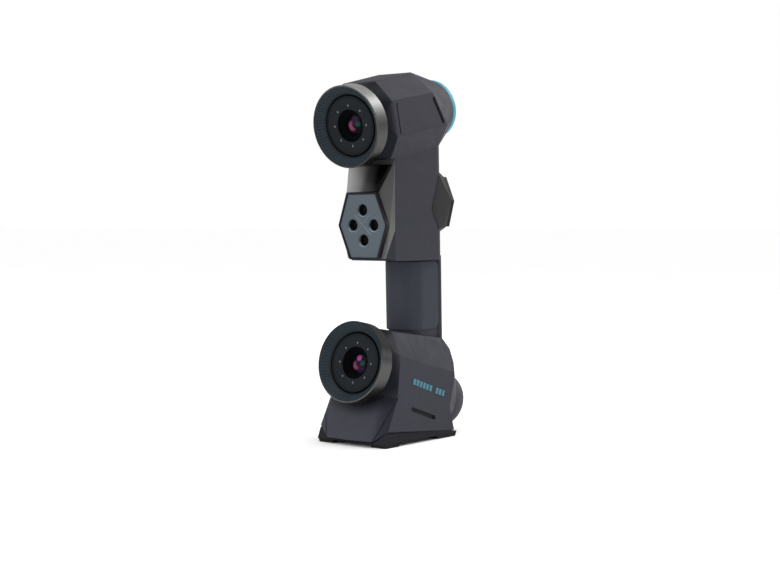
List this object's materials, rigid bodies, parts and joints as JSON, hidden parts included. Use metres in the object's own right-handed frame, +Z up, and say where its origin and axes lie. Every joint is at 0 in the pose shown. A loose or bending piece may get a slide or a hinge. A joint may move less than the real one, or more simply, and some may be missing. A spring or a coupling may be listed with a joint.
{
  "type": "handheld scanner",
  "caption": "Upright handheld 3-D scanner: two ring-lit camera heads, a hexagonal laser block, a slim grip, push buttons on the back and a flat foot plate.",
  "frame": {"origin": "on the plane that the rubber feet rest on, under the middle of the whole scanner's width and depth", "axes": "+Z up along the body, -Y the way both cameras look, +X across the body; X = 0 is the symmetry plane"},
  "size_m": [0.072, 0.1505, 0.3096],
  "materials": {
    "casing": "fine matt moulded texture, dark blue-grey",
    "soft_grip": "soft-touch, satin",
    "dark_plastic": "satin",
    "rubber": "matt",
    "aluminium": "machined",
    "steel": "zinc plated",
    "ring_metal": "satin anodised dark grey",
    "slate_plastic": "satin",
    "led_lens": "clear lens",
    "black_metal": "black anodised",
    "lens_glass": "coated",
    "circuit_board": "solder mask",
    "accent": "light blue",
    "grey_plastic": "satin dark grey",
    "blue_grey_plate": "satin",
    "window_glass": "dark filter glass",
    "brass": "turned",
    "gloss_black": "high gloss",
    "button_blue": "satin translucent",
    "button_rubber": "silicone"
  },
  "bodies": {
    "scanner": {"shell_right": "casing", "shell_left": "casing", "shell_screws": "steel", "grip_cover": "soft_grip", "base_plate": "dark_plastic", "base_screws": "steel", "rubber_feet": "rubber", "backbone": "aluminium", "camera_screws": "steel", "top_ring_housing": "ring_metal", "top_reflector": "slate_plastic", "top_led_disc": "slate_plastic", "top_leds": "led_lens", "top_lens_barrel": "black_metal", "top_lens_glass": "lens_glass", "top_camera": "black_metal", "top_sensor_board": "circuit_board", "bottom_ring_housing": "ring_metal", "bottom_reflector": "slate_plastic", "bottom_led_disc": "slate_plastic", "bottom_leds": "led_lens", "bottom_lens_barrel": "black_metal", "bottom_lens_glass": "lens_glass", "bottom_camera": "black_metal", "bottom_sensor_board": "circuit_board", "accent_ring": "accent", "top_rear_cap": "dark_plastic", "bottom_rear_cap": "casing", "cable_socket": "steel", "laser_housing": "grey_plastic", "laser_frame": "dark_plastic", "laser_plate": "blue_grey_plate", "laser_windows": "window_glass", "laser_modules": "brass", "laser_bracket": "aluminium", "laser_hood": "gloss_black", "button_housing": "grey_plastic", "button_panel": "dark_plastic", "status_light": "accent", "button_board": "circuit_board", "main_board": "circuit_board", "upper_vents": "dark_plastic", "lower_vents": "dark_plastic", "accent_strips": "accent"},
    "scan_key": {"scan_button": "button_blue"},
    "up_key": {"up_button": "button_rubber"},
    "down_key": {"down_button": "button_rubber"},
    "left_key": {"left_button": "button_rubber"},
    "right_key": {"right_button": "button_rubber"}
  },
  "joints": [
    {"name": "scan_press", "type": "slide", "parent": "scanner", "child": "scan_key", "axis": [0, -1, 0], "range_m": [0, 0.001], "stiffness_N_per_m": 600, "springref_m": -0.0006},
    {"name": "up_press", "type": "slide", "parent": "scanner", "child": "up_key", "axis": [0, -1, 0], "range_m": [0, 0.001], "stiffness_N_per_m": 400, "springref_m": -0.0006},
    {"name": "down_press", "type": "slide", "parent": "scanner", "child": "down_key", "axis": [0, -1, 0], "range_m": [0, 0.001], "stiffness_N_per_m": 400, "springref_m": -0.0006},
    {"name": "left_press", "type": "slide", "parent": "scanner", "child": "left_key", "axis": [0, -1, 0], "range_m": [0, 0.001], "stiffness_N_per_m": 400, "springref_m": -0.0006},
    {"name": "right_press", "type": "slide", "parent": "scanner", "child": "right_key", "axis": [0, -1, 0], "range_m": [0, 0.001], "stiffness_N_per_m": 400, "springref_m": -0.0006}
  ]
}
